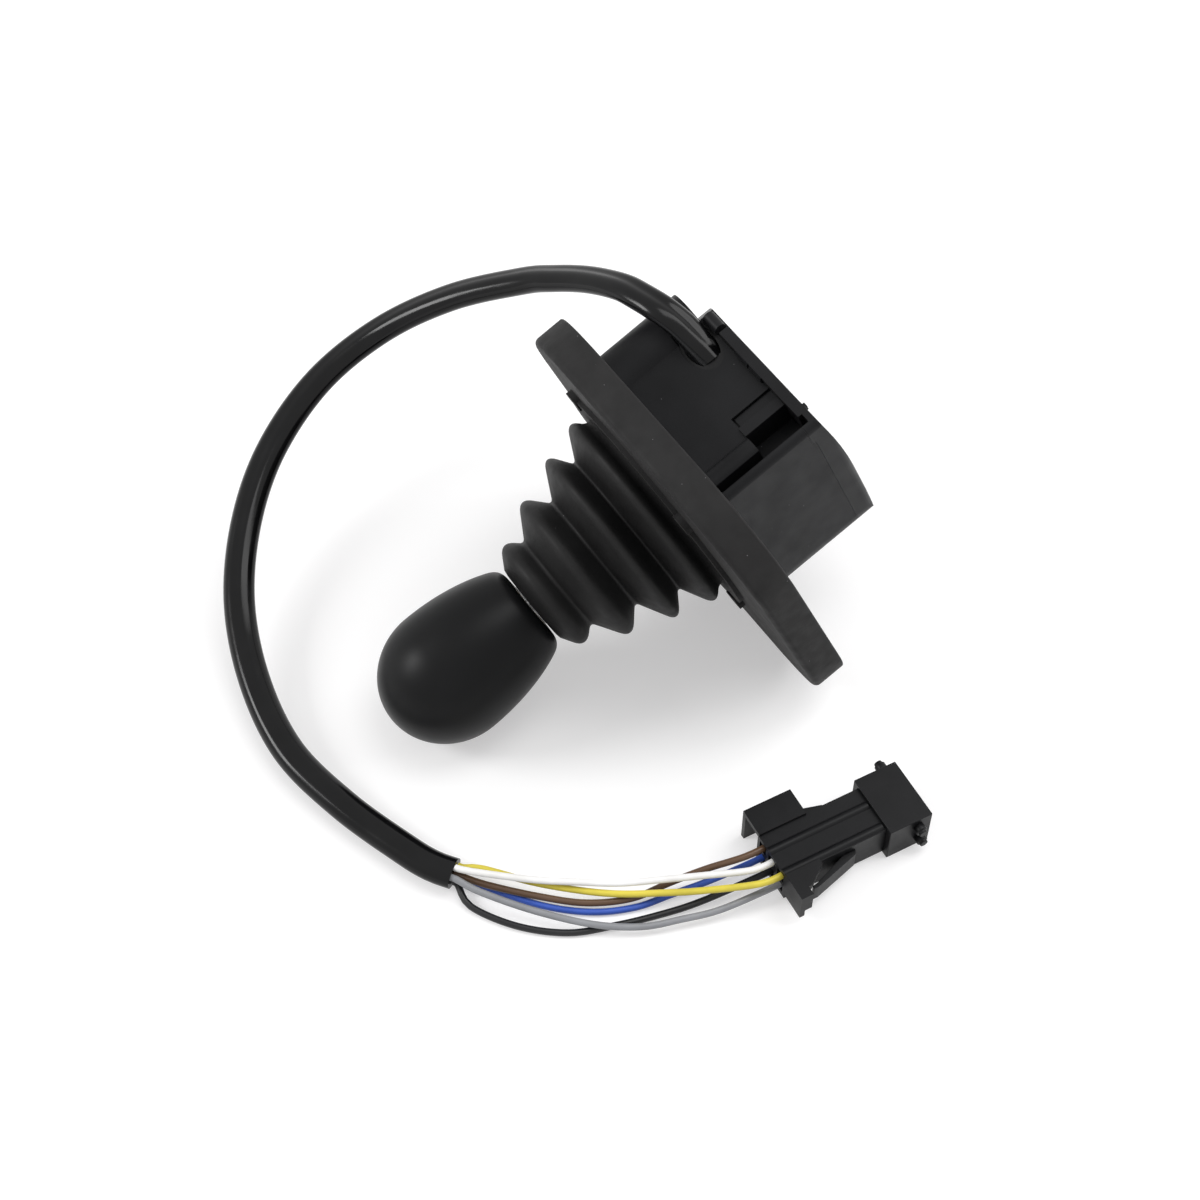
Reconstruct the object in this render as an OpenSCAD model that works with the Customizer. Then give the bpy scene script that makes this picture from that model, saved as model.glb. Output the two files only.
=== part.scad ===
// Two-axis fingertip joystick, lying on its side with its lead and six-way connector.
// Each part of the joystick is drawn with the lever pointing up (+Z) and the mounting
// face of its flange at z = 0, and lay() then lays it down on the flange edge and the knob.
// The lead and the connector are drawn where they lie.

/* [Knob and lever] */
// Largest diameter of the knob
knob_d = 36; // [28:0.5:46]
// Height of the widest part of the knob above the mounting face
knob_mid_z = 80; // [72:0.5:95]
// Length of the knob from its widest part to its tip
knob_tip_l = 19.3; // [15:0.1:26]
// Length of the knob from its widest part down to its foot
knob_foot_l = 27; // [22:0.5:34]
// Diameter of the lever shaft
shaft_d = 8; // [6:0.5:10]
// Diameter of the brass insert in the knob
insert_d = 13; // [11:0.5:15]

/* [Flange and boot] */
// Half of the flange width across the lever
flange_a = 49.4; // [44:0.5:60]
// Half of the flange width from top to bottom
flange_b = 49.5; // [44:0.5:60]
// Corner radius of the flange
flange_r = 28; // [16:1:34]
// Thickness of the rubber-covered flange
flange_t = 9.5; // [8:0.5:13]
// How far the flange centre stands to one side of the lever
flange_shift = 7.5; // [0:0.5:12]
// Rounding of the rubber edge
edge_r = 1.6; // [0.8:0.1:2.4]
// Thickness of the steel mounting plate in the rubber
plate_t = 3; // [2:0.5:4]
// Rubber wall around the mounting plate
skirt_wall = 3; // [2:0.5:5]
// Radius of the raised pad round the bellows
pad_r = 34; // [31:0.5:38]
// Height of the raised pad
pad_h = 1.2; // [0.6:0.1:2]
// Thickness of the bellows rubber
bellows_wall = 1.4; // [1:0.1:2]

/* [Mounting screws] */
// Distance between the mounting screws
mount_pitch = 68; // [60:1:72]
// Diameter of the threaded mounting holes
mount_hole_d = 4; // [3:0.5:6]

/* [Housing] */
// Half width of the housing
house_s = 29.8; // [28:0.2:34]
// Depth of the housing behind the mounting face
house_l = 27.3; // [26:0.1:36]
// Depth of the flat recess in the top and bottom faces
recess_d = 3; // [2:0.2:3.6]
// Thickness of the housing wall
wall = 2.2; // [1.8:0.1:2.8]
// Depth of the rear cover
cover_h = 6; // [5:0.2:8]

/* [Gimbal] */
// Depth of the pivot behind the mounting face
pivot_depth = 6; // [5:0.5:8]
// Outer radius of the gimbal ring
ring_ro = 18; // [17:0.5:18.5]
// Inner radius of the gimbal ring
ring_ri = 13.5; // [12.5:0.5:14]
// Height of the gimbal ring
ring_h = 8; // [7:0.5:9]
// Diameter of the pivot pins
pin_d = 4; // [3:0.5:4.5]
// Running clearance of the pins in their bushes
run_gap = 0.04; // [0.02:0.01:0.08]

/* [Connector] */
// Length of the connector
conn_l = 41.5; // [38:0.5:50]
// Width of the connector body
conn_w = 13.8; // [13:0.2:16]
// Height of the connector
conn_h = 12; // [11:0.5:14]
// Width across the two latch guards
guard_span = 28.7; // [26:0.5:34]

/* [Lead] */
// Diameter of the outer sleeve
sleeve_d = 8; // [7:0.5:9]
// Diameter of each wire
wire_d = 1.8; // [1.4:0.1:2]

/* [Hidden] */
$fn = 64;
fit = 0.05;                                  // clearance between seated parts
knob_r = knob_d / 2;
knob_foot_z = knob_mid_z - knob_foot_l;
knob_foot_axis = 36.5;                       // long half axis of the foot's ellipse
knob_foot_round = 2.6;                       // rounding of the foot
insert_l = 20;
shaft_top_z = knob_foot_z + 18;

skin = flange_t - plate_t;                   // rubber in front of the plate
boot_hole_r = 20.5;                          // opening in plate and skirt under the bellows
bellows_top_z = knob_foot_z - 0.6;
neck_r = shaft_d / 2 + 2.2;
neck_h = 3;
neck_z = knob_foot_z - 0.3 - neck_h;         // foot of the ring that holds the boot's neck
nut_h = 5;
nut_r = shaft_d * 0.92;                      // over the corners
pivot_z = -pivot_depth;
pin_r = pin_d / 2;
bush_r = pin_r + 1.1;
bush_l = 4.4;
post_in = ring_ro + 3.4;                     // inner face of the bearing posts
hub_r = 8.5;
hub_h = 12;
stem_l = 12.5;                               // pivot to the lower face of the magnet
magnet_r = 3.5;
magnet_h = 3;

cavity_x = house_s - recess_d - wall;        // half height of the cavity, top to bottom
cavity_y = house_s - wall - 4.6;             // half width of the cavity, side to side
column_r = 8.5;                              // round columns at the corners beside the lead
// Corner radii are listed in the order (-x, -y), (+x, -y), (+x, +y), (-x, +y)
house_r = [column_r, column_r, 10, 2];
cavity_r = [13, 8, 8, 8];
slot_y1 = house_s - 2.1;                     // slot along each recess, beside the plain side
slot_y0 = slot_y1 - 3.4;
slot_x = house_s - 9.8;                      // floor of the slot
rib_r = 3.6;                                 // short round rib between recess and slot
rib_at = [house_s - 4.2, slot_y0 - 2.4];
pocket_y = slot_y0 - 5.9;                    // the pocket opens into the slot behind the rib
pocket_z = -house_l + 12.3;
pocket_wall = 1.5;
window_w = 3.8;                              // snap window and the raised strip beside it
window_y = pocket_y - 3.1 - window_w;
window_l = 12;
window_d = 1.4;
strip_h = 0.8;

board_z = -house_l + 5.5;                    // upper face of the circuit board
board_t = 1.6;
board_x = cavity_x - 1;
board_y = cavity_y - 1;
boss_r = 4;                                  // screw bosses on the cavity's walls
boss_x = cavity_x - boss_r + 0.2;
boss_y = [-cavity_y + boss_r + 0.4, pocket_y - pocket_wall + 0.1 - boss_r];
screw_r = 1.25;
head_r = 2.4;
head_h = 1.6;
cover_round = 2.2;
cover_floor = 3.6;
cover_arch = 230;                            // radius of the cover's slightly arched back
arch_x = 8;                                  // where the arch stands highest
lead_cut = [house_s - 15, 8.6];              // corner cut off the cover beside the lead
barrel_r = 1.7;                              // rounded blocks along the cover's rim
grommet_r = 4.7;
grommet_l = 6.5;
lead_groove = 11;                            // how far the lead's hole grooves the column
lead_slope = (house_s - lead_cut[0]) / (house_s - lead_cut[1]);
rim_y = -8.3;                                // where the cover's raised rim starts
seam_w = 6.4;                                // step in the seam on the plain side
seam_h = 1.1;
exit_slope = 38;                             // angle of the lead to the housing's face
exit_at = [-house_s + recess_d, -10.5, -house_l + 5.3];

// The joystick lies with the flange edge and the knob on the table. The two heights are
// equal at the tilt at which both touch it.
function edge_reach(t) =
    (flange_b - edge_r) * cos(t) + (flange_t - edge_r) * sin(t) + edge_r;
function knob_reach(t) =
    knob_mid_z * sin(t) + sqrt(pow(knob_r * cos(t), 2) + pow(knob_tip_l * sin(t), 2));
function find_tilt(low, high, n) =
    n == 0 ? (low + high) / 2
    : edge_reach((low + high) / 2) > knob_reach((low + high) / 2)
        ? find_tilt((low + high) / 2, high, n - 1)
        : find_tilt(low, (low + high) / 2, n - 1);
tilt = find_tilt(0, 45, 30);
lay_z = edge_reach(tilt);
back_reach = (house_s - cover_round) * sin(tilt)
    + (house_l + cover_h - cover_round) * cos(tilt) + cover_round;
front_reach = knob_mid_z * cos(tilt)
    + sqrt(pow(knob_r * sin(tilt), 2) + pow(knob_tip_l * cos(tilt), 2));
lay_x = (back_reach - front_reach) / 2;
lay_y = -flange_shift;

// The connector, from its wire end to its mating end
conn_at = [7.9, 79.7, 0];
conn_turn = 174.5;                           // heading of the connector on the table
front_l = 12.3;
front_w = conn_w + 3.9;
cell_pitch = 4.3;
cell = 3;
cell_rows = [3.7, 8.3];
contact_from = 3;                            // where the wires meet their contacts
guard_l = 13.7;
arm_root = conn_l / 2 - 2.6;

module lay()
{
    translate([lay_x, lay_y, lay_z]) rotate([0, 90 + tilt, 0]) children();
}

// Turn a shape drawn along +Z to lie along +X or +Y
module along_x() { rotate([0, 90, 0]) children(); }
module along_y() { rotate([-90, 0, 0]) children(); }

function arc(cx, cy, r, a0, a1, n) =
    [for (i = [0 : n]) let (a = a0 + (a1 - a0) * i / n) [cx + r * cos(a), cy + r * sin(a)]];

// Flat outline of a rectangle with half sides a and b and the four corner radii r
module rounded_outline(a, b, r)
{
    difference()
    {
        square([2 * a, 2 * b], center = true);
        for (corner = [[-1, -1, r[0]], [1, -1, r[1]], [1, 1, r[2]], [-1, 1, r[3]]])
            scale([corner[0], corner[1]]) difference()
            {
                translate([a, b]) square(2 * corner[2], center = true);
                translate([a - corner[2], b - corner[2]]) circle(corner[2]);
            }
    }
}
function shrunk(r, by) = [for (one = r) one - by];

// Slab with a rounded outline and rounded upper and lower edges, from z = 0 up
module soft_slab(a, b, r, h, top, bottom)
{
    function half(w) = concat(
        [[0, 0]], arc(w - bottom, bottom, bottom, -90, 0, 5),
        arc(w - top, h - top, top, 0, 90, 5), [[0, h]]);
    for (sx = [-1, 1], sy = [-1, 1])
        translate([sx * (a - r), sy * (b - r), 0]) rotate_extrude() polygon(half(r));
    for (turn = [0, 180]) rotate([0, 0, turn])
    {
        translate([0, b - r, 0]) rotate([90, 0, 0])
            linear_extrude(2 * (b - r)) polygon(half(a));
        translate([-(a - r), 0, 0]) rotate([90, 0, 90])
            linear_extrude(2 * (a - r)) polygon(half(b));
    }
}

module boxed(x0, x1, y0, y1, z0, z1)
{
    translate([x0, y0, z0]) cube([x1 - x0, y1 - y0, z1 - z0]);
}

// ---- knob and lever

// Quadratic curve from a to b that heads for c at both ends
function curve(a, c, b, n) =
    [for (i = [0 : n]) let (k = i / n) (1 - k) * (1 - k) * a + 2 * k * (1 - k) * c + k * k * b];

// The knob is one ellipse above its widest part and a longer one below, cut off at the foot
module knob_solid()
{
    low = knob_foot_l - knob_foot_round;
    low_r = knob_r * sqrt(1 - pow(low / knob_foot_axis, 2));
    slope = pow(knob_r / knob_foot_axis, 2) * low / low_r;
    corner = [low_r - slope * knob_foot_round, knob_foot_z];
    side = [for (i = [1 : 14]) let (z = low * (1 - i / 14))
        [knob_r * sqrt(1 - pow(z / knob_foot_axis, 2)), knob_mid_z - z]];
    tip = [for (i = [1 : 14]) let (a = 90 * i / 14)
        [knob_r * cos(a), knob_mid_z + knob_tip_l * sin(a)]];
    rotate_extrude() polygon(concat(
        [[0, knob_foot_z]],
        curve(corner - [knob_foot_round, 0], corner, [low_r, knob_mid_z - low], 6),
        side, tip));
}

module knob()
{
    color("#1b1b1d") difference()
    {
        knob_solid();
        translate([0, 0, knob_foot_z - 1]) cylinder(r = insert_d / 2, h = insert_l + 1 + fit);
    }
}

module knob_insert()
{
    color("goldenrod") translate([0, 0, knob_foot_z]) difference()
    {
        cylinder(r = insert_d / 2 - fit, h = insert_l);
        for (z = [6, 13]) translate([0, 0, z]) difference()
        {
            cylinder(r = insert_d, h = 1.5);
            cylinder(r = insert_d / 2 - 0.8, h = 1.5);
        }
        translate([0, 0, -1]) cylinder(r = shaft_d / 2 + fit, h = insert_l);
    }
}

module lever_shaft()
{
    color("silver") difference()
    {
        union()
        {
            translate([0, 0, pivot_z - hub_h / 2])
                cylinder(r = shaft_d / 2, h = shaft_top_z - pivot_z + hub_h / 2 - 1);
            translate([0, 0, shaft_top_z - 1])
                cylinder(r1 = shaft_d / 2, r2 = shaft_d / 2 - 1, h = 1, $fn = 64);
        }
        translate([0, 0, pivot_z]) along_x()
            translate([0, 0, -shaft_d]) cylinder(r = 0.8, h = 2 * shaft_d);
    }
}

module lock_nut()
{
    color("darkgray") translate([0, 0, neck_z - 0.1 - nut_h]) difference()
    {
        linear_extrude(nut_h) polygon([for (a = [0 : 60 : 300]) nut_r * [cos(a), sin(a)]]);
        translate([0, 0, -1]) cylinder(r = shaft_d / 2 + fit, h = nut_h + 2);
    }
}

// ---- rubber boot

// Heights and outer radii of the folds, from the base of the bellows to its neck
function lift(z) = flange_t + (z - 9.5) * (bellows_top_z - flange_t) / 42.9;
fold_z = [for (z = [12.1, 15.3, 20.6, 25.6, 31.6, 37.6, 43.8, 48.3, 51.2]) lift(z)];
fold_r = [27, 29.6, 20.7, 26.6, 16.7, 22.1, 13.4, 16.5, neck_r + bellows_wall];

// A bend in a profile is rounded by replacing its point with a short curve
function unit(v) = v / norm(v);
function bend(p, q, r, cut, n) = curve(q + unit(p - q) * cut, q, q + unit(r - q) * cut, n);

function outer_fold(g) = concat(
    [[fold_r[0] - g, flange_t - 2]],
    [for (i = [0 : 7])
        for (p = bend(
            i == 0 ? [fold_r[0], flange_t - 2] : [fold_r[i - 1], fold_z[i - 1]],
            [fold_r[i], fold_z[i]], [fold_r[i + 1], fold_z[i + 1]],
            i % 2 == 0 ? 1.4 : 2.2, 4))
            [p[0] - g, p[1]]],
    [[fold_r[8] - g, fold_z[8]], [fold_r[8] - g, bellows_top_z]]);

module bellows()
{
    outside = outer_fold(0);
    inside = outer_fold(bellows_wall);
    last = len(inside) - 1;
    color("#242220") rotate_extrude()
        polygon(concat(outside, [for (i = [0 : last]) inside[last - i]]));
}

module neck_ring()
{
    color("dimgray") translate([0, 0, neck_z]) difference()
    {
        cylinder(r = neck_r - fit, h = neck_h);
        translate([0, 0, -1]) cylinder(r = shaft_d / 2 + fit, h = neck_h + 2);
    }
}

module boot_skirt()
{
    color("#2b2927") difference()
    {
        union()
        {
            translate([0, flange_shift, 0])
                soft_slab(flange_b, flange_a, flange_r, flange_t, edge_r, 0.6);
            translate([0, 0, flange_t - 0.5]) cylinder(r = pad_r, h = pad_h + 0.5);
            for (sx = [-1, 1], sy = [-1, 1]) translate([sx * 24, sy * 24, flange_t - 0.5])
                cylinder(r = 3, h = 0.5 + 1.7);
        }
        translate([0, flange_shift, -1]) linear_extrude(1 + plate_t + fit)
            plate_outline(0);
        translate([0, 0, -1]) cylinder(r = fold_r[0] - bellows_wall, h = flange_t + 4);
        translate([0, 0, flange_t - 2.2]) cylinder(r = fold_r[0] + fit, h = 6);
        translate([0, 0, 1]) mount_holes(mount_hole_d / 2 + 0.3, plate_t + 1.5);
        plate_screw_places() translate([0, 0, 1])
            cylinder(r = head_r + 0.3, h = plate_t + head_h - 0.7);
    }
}

// ---- mounting plate and housing

module mount_holes(r, h)
{
    for (sx = [-1, 1], sy = [-1, 1])
        translate([sx * mount_pitch / 2, flange_shift + sy * mount_pitch / 2, 0])
            cylinder(r = r, h = h);
}

module plate_screw_places()
{
    for (sx = [-1, 1], y = boss_y) translate([sx * boss_x, y, 0]) children();
}

module plate_outline(gap)
{
    inset = skirt_wall + gap;
    rounded_outline(flange_b - inset, flange_a - inset, shrunk([for (i = [0 : 3]) flange_r], inset));
}

module mounting_plate()
{
    color("gray") difference()
    {
        linear_extrude(plate_t) translate([0, flange_shift]) plate_outline(fit);
        translate([0, 0, -1]) cylinder(r = boot_hole_r, h = plate_t + 2);
        translate([0, 0, -1]) mount_holes(mount_hole_d / 2, plate_t + 2);
        plate_screw_places() translate([0, 0, -1]) cylinder(r = screw_r + 0.2, h = plate_t + 2);
    }
}

module housing_screws()
{
    color("silver") plate_screw_places() translate([0, 0, -8])
    {
        cylinder(r = screw_r - fit, h = 8 + plate_t);
        translate([0, 0, 8 + plate_t - 0.1]) cylinder(r = screw_r - fit, h = 0.4);
        translate([0, 0, 8 + plate_t + fit / 2]) cylinder(r = head_r, h = head_h);
    }
}

// Everything cut into the top face of the housing, drawn on the +X side
module face_cuts()
{
    floor_x = house_s - recess_d;
    column_at = house_s - column_r;
    difference()
    {
        boxed(floor_x, house_s + 1, -column_at, slot_y0 + 0.5, -house_l - 1, 1);
        translate([column_at, -column_at, -house_l - 2]) cylinder(r = column_r, h = house_l + 4);
        translate([rib_at[0], rib_at[1], pocket_z]) cylinder(r = rib_r, h = house_l);
        boxed(floor_x - 1, floor_x + strip_h, window_y + window_w, pocket_y, -house_l - 2, pocket_z);
    }
    boxed(slot_x, house_s + 1, slot_y0, slot_y1, -house_l - 1, 1);
    boxed(slot_x, house_s + 1, pocket_y, slot_y1, -house_l - 1, pocket_z);
    boxed(floor_x - window_d, house_s, window_y, window_y + window_w,
        -house_l - 1, -house_l + window_l);
}

// Walls between the pockets and the cavity
module pocket_walls(gap, top)
{
    for (sx = [-1, 1]) scale([sx, 1, 1]) boxed(slot_x - pocket_wall - gap, cavity_x + 0.5,
        pocket_y - pocket_wall - gap, cavity_y + 0.5, -house_l - gap, top);
}

// Prism over the corner that the cover leaves free for the lead
module lead_corner(z0, z1)
{
    translate([0, 0, z0]) linear_extrude(z1 - z0) polygon([
        [-house_s - 1, -house_s - 1], [-house_s - 1, -lead_cut[0] + lead_slope],
        [-lead_cut[1] + 1 / lead_slope, -house_s - 1]]);
}

// Tongue of the cover that fills a step in the plain side's seam
module seam_step(gap)
{
    boxed(-house_s - 1, -house_s + seam_w - gap, slot_y1 - 1, house_s + 1,
        -house_l - 1, -house_l + seam_h - gap);
}

module housing()
{
    color("#202124") difference()
    {
        union()
        {
            difference()
            {
                translate([0, 0, -house_l]) linear_extrude(house_l)
                    rounded_outline(house_s, house_s, house_r);
                translate([0, 0, -house_l - 1]) linear_extrude(house_l + 2)
                    rounded_outline(cavity_x, cavity_y, cavity_r);
            }
            for (sy = [-1, 1]) scale([1, sy, 1])
                boxed(-6, 6, post_in, cavity_y + 0.5, pivot_z - 5, -0.8);
            pocket_walls(0, pocket_z + pocket_wall);
            plate_screw_places() translate([0, 0, board_z]) cylinder(r = boss_r, h = -board_z);
        }
        for (sx = [-1, 1]) scale([sx, 1, 1]) face_cuts();
        for (sy = [-1, 1]) translate([0, sy * (post_in - 1), pivot_z])
            rotate([-90 * sy, 0, 0]) cylinder(r = bush_r, h = bush_l + 1);
        plate_screw_places()
        {
            translate([0, 0, -9]) cylinder(r = screw_r, h = 10);
            translate([0, 0, board_z - 1]) cylinder(r = screw_r, h = 7);
        }
        lead_corner(-house_l - 1, -house_l + seam_h);
        seam_step(0);
        grommet_axis() translate([0, 0, -12]) cylinder(r = grommet_r + fit, h = 12 + lead_groove);
    }
}

module rear_cover()
{
    back = -house_l - cover_h;
    color("#1e1f22") difference()
    {
        union()
        {
            difference()
            {
                intersection()
                {
                    union()
                    {
                        translate([0, 0, back]) linear_extrude(cover_h - fit)
                            rounded_outline(house_s, house_s, house_r);
                        seam_step(fit);
                    }
                    translate([0, 0, back]) soft_slab(
                        house_s, house_s, cover_round + 0.2, cover_h + 2, 0.2, cover_round);
                    translate([arch_x, house_s + 1, back + cover_arch]) rotate([90, 0, 0])
                        cylinder(r = cover_arch, h = 2 * house_s + 2, $fn = 360);
                }
                translate([0, 0, back + cover_floor]) linear_extrude(cover_h)
                    rounded_outline(cavity_x, cavity_y, cavity_r);
                lead_corner(back - 1, -house_l + 1);
                boxed(-house_s - 1, -house_s + recess_d + 0.2, -house_s, rim_y, back, -house_l + 1);
                boxed(-house_s - 1, -slot_x, slot_y0 + 0.6, slot_y1, -house_l - 1.2, -house_l + 2);
            }
            translate([0, 0, back + cover_floor - 1]) difference()
            {
                linear_extrude(cover_h - cover_floor + 3)
                    rounded_outline(cavity_x - fit, cavity_y - fit, cavity_r);
                translate([0, 0, 0.5]) linear_extrude(cover_h)
                    rounded_outline(cavity_x - 1.4, cavity_y - 1.4, shrunk(cavity_r, 1));
            }
            for (sx = [-1, 1]) scale([sx, 1, 1]) boxed(
                house_s - recess_d - window_d + fit, house_s - recess_d - window_d + 0.6,
                window_y + 0.2, window_y + window_w - 0.2, -house_l - 2, -house_l + window_l - 0.6);
            for (part = [[-15.2, 5.3], [-1.5, 5.3], [4.4, 5]])
                translate([-house_s + barrel_r, part[0], -house_l - 1.15]) along_y()
                    cylinder(r = barrel_r, h = part[1]);
            boxed(-house_s + 0.3, -house_s + 2.2, slot_y0 - 1.7, slot_y0 - 0.5,
                -house_l - 3.6, -house_l - 1);
        }
        pocket_walls(fit, 0);
        grommet_axis() translate([0, 0, -12]) cylinder(r = grommet_r + fit, h = 30);
        board_screw_places() translate([0, 0, -house_l - 1]) cylinder(r = head_r + 0.6, h = 6);
    }
}

// ---- gimbal

module gimbal_ring()
{
    color("#8f9296") translate([0, 0, pivot_z]) difference()
    {
        translate([0, 0, -ring_h / 2]) cylinder(r = ring_ro, h = ring_h);
        translate([0, 0, -ring_h]) cylinder(r = ring_ri, h = 2 * ring_h);
        along_y() translate([0, 0, -ring_ro - 1]) cylinder(r = pin_r + fit / 2, h = 2 * ring_ro + 2);
        along_x() translate([0, 0, -ring_ro - 1]) cylinder(r = pin_r + fit / 2, h = 2 * ring_ro + 2);
    }
}

module outer_pins()
{
    color("silver") for (sy = [-1, 1]) translate([0, 0, pivot_z]) rotate([-90 * sy, 0, 0])
        translate([0, 0, ring_ri + 0.5]) cylinder(r = pin_r, h = post_in + bush_l - 0.8 - ring_ri);
}

module inner_pins()
{
    color("silver") for (sx = [-1, 1]) translate([0, 0, pivot_z]) rotate([0, 90 * sx, 0])
        translate([0, 0, shaft_d / 2 + 0.6]) cylinder(r = pin_r, h = ring_ro - 1.1 - shaft_d / 2);
}

module bush(l)
{
    difference()
    {
        cylinder(r = bush_r - fit / 2, h = l);
        translate([0, 0, -1]) cylinder(r = pin_r + run_gap, h = l + 2);
    }
}

module outer_bushes()
{
    color("#c9b98a") for (sy = [-1, 1]) translate([0, 0, pivot_z]) rotate([-90 * sy, 0, 0])
        translate([0, 0, post_in]) bush(bush_l - 0.1);
}

module inner_bushes()
{
    color("#c9b98a") for (sx = [-1, 1]) translate([0, 0, pivot_z]) rotate([0, 90 * sx, 0])
        translate([0, 0, shaft_d / 2 + 0.3]) bush(hub_r - shaft_d / 2 - 0.3);
}

module lever_hub()
{
    color("#3a3c40") translate([0, 0, pivot_z]) difference()
    {
        translate([0, 0, -hub_h / 2]) cylinder(r = hub_r, h = hub_h);
        translate([0, 0, -hub_h]) cylinder(r = shaft_d / 2 + fit, h = 2 * hub_h);
        along_x() translate([0, 0, -hub_r - 1]) cylinder(r = bush_r, h = 2 * hub_r + 2);
    }
}

// Coil of a torsion spring round the pin that points along +Z, with two straight legs
spring_wire = 0.8;
spring_leg = 4;
spring_pitch = 1.05;
function coil_points(r, turns, pitch, steps) = concat(
    [[r, -spring_leg, 0]],
    [for (i = [0 : turns * steps]) let (a = 360 * i / steps)
        [r * cos(a), r * sin(a), pitch * i / steps]],
    [[r, spring_leg, pitch * turns]]);

module outer_spring()
{
    color("#b8b8b8") translate([0, 0, pivot_z]) rotate([-90, 0, 0])
        translate([0, 0, ring_ro + spring_wire / 2 - 0.1])
            sweep(coil_points(pin_r + 1.1, 2, spring_pitch, 14), spring_wire / 2, 6);
}

module inner_spring()
{
    color("#b8b8b8") translate([0, 0, pivot_z]) rotate([0, 90, 0])
        translate([0, 0, sqrt(ring_ri * ring_ri - spring_leg * spring_leg)
            - spring_wire / 2 - 0.1 - 3 * spring_pitch])
            sweep(coil_points(pin_r + 1.1, 3, spring_pitch, 14), spring_wire / 2, 6);
}

module magnet_holder()
{
    color("#33353a") translate([0, 0, pivot_z - stem_l]) difference()
    {
        cylinder(r = magnet_r + 1.5, h = stem_l - hub_h / 2 - fit);
        translate([0, 0, -1]) cylinder(r = magnet_r + fit, h = magnet_h + 1 + fit);
    }
}

module magnet()
{
    color("#a9adb2") translate([0, 0, pivot_z - stem_l]) cylinder(r = magnet_r, h = magnet_h);
}

// ---- sensing

// The board has no screw in the corner beside the lead
module board_screw_places()
{
    for (spot = [[boss_x, boss_y[0]], [boss_x, boss_y[1]], [-boss_x, boss_y[1]]])
        translate([spot[0], spot[1], 0]) children();
}

module circuit_board()
{
    color("#1d5c34") difference()
    {
        translate([0, 0, board_z - board_t - fit]) linear_extrude(board_t)
            difference()
            {
                rounded_outline(board_x, board_y, shrunk(cavity_r, 1));
                for (sx = [-1, 1]) scale([sx, 1])
                    translate([slot_x - 2, pocket_y - 2]) square(house_s);
            }
        board_screw_places() translate([0, 0, board_z - 4]) cylinder(r = screw_r + 0.2, h = 6);
        grommet_axis() translate([0, 0, -grommet_l - 1]) cylinder(r = grommet_r + 0.5, h = 20);
    }
}

module hall_sensors()
{
    color("#17181a") for (spot = [[0, 0], [6.5, 0], [0, 6.5]])
        translate([spot[0] - 2, spot[1] - 2.5, board_z - fit + 0.01]) cube([4, 5, 1.2]);
}

module board_header()
{
    header_at = -board_x / 2;
    color("#e6e2d6") difference()
    {
        translate([header_at - 2.5, -8, board_z - board_t - fit - 4.4]) cube([5, 16, 4.39]);
        for (i = [0 : 5]) translate([header_at, -6.5 + 2.6 * i, board_z - board_t - 5.5])
            cylinder(r = 0.7, h = 3);
    }
}

module board_screws()
{
    color("silver") board_screw_places()
    {
        translate([0, 0, board_z - board_t - 0.1 - fit]) cylinder(r = screw_r - fit, h = 6.5);
        translate([0, 0, board_z - board_t - head_h - 2 * fit]) cylinder(r = head_r, h = head_h);
    }
}

// ---- lead

// The lead's axis at the housing, with +Z pointing out of the grommet
module grommet_axis()
{
    translate(exit_at) rotate([0, 0, -exit_slope]) rotate([90, 0, 0]) children();
}

// Point of the joystick as it lies
function laid(p) = [
    lay_x + p[2] * cos(tilt) - p[0] * sin(tilt), lay_y + p[1],
    lay_z - p[0] * cos(tilt) - p[2] * sin(tilt)];

// Tube of radius r along points p, its rings turned so that one side looks along "up"
function tangent(p, i) =
    unit(p[min(i + 1, len(p) - 1)] - p[max(i - 1, 0)]);
function ring(p, i, r, sides, up) =
    let (t = tangent(p, i), s = unit(cross(up, t)), u = cross(t, s))
    [for (k = [0 : sides - 1]) let (a = 360 * k / sides)
        p[i] + r * cos(a) * s + r * sin(a) * u];
module sweep(p, r, sides, up = [0, 0, 1])
{
    n = len(p);
    points = [for (i = [0 : n - 1]) for (q = ring(p, i, r, sides, up)) q];
    walls = [for (i = [0 : n - 2], k = [0 : sides - 1])
        let (a = i * sides + k, b = i * sides + (k + 1) % sides)
        for (f = [[a, b + sides, b], [a, a + sides, b + sides]]) f];
    ends = [[for (k = [0 : sides - 1]) k],
        [for (k = [sides - 1 : -1 : 0]) (n - 1) * sides + k]];
    polyhedron(points, concat(walls, ends), convexity = 6);
}

// Routes of the sleeve and the wires, as the lead lies on the table. The sleeve starts at
// the grommet, the wires start at the sleeve's end and finish in the connector's rear.
sleeve_in = 4;                               // length of the sleeve inside the grommet
exit_way = [-sin(exit_slope), -cos(exit_slope), 0];
sleeve_end = [74.6, 36.8, sleeve_d / 2 + 0.1];
sleeve_route = [
    laid(exit_at - sleeve_in * exit_way), laid(exit_at + 4.5 * exit_way),
    [-33.3, -24.8, 86.7], [-31.3, -29.2, 88.4], [-29.7, -36.1, 87.9], [-28.5, -43.3, 86],
    [-25.8, -53.9, 81], [-21.8, -64, 75.1], [-16.8, -73.2, 69], [-3.4, -88.1, 57.6],
    [13.4, -98, 46], [33, -100, 35.5], [52.6, -93, 26.5], [68.3, -80.3, 19],
    [81.1, -62.4, 12.5], [89, -40.7, 8], [91.8, -17.9, 5.4], [87.9, 3.8, 4.3],
    [81.3, 24, sleeve_d / 2 + 0.1], [78, 31.8, sleeve_d / 2 + 0.1], sleeve_end
];
end_turn = 124.2;                            // heading of the sleeve's end
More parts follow.
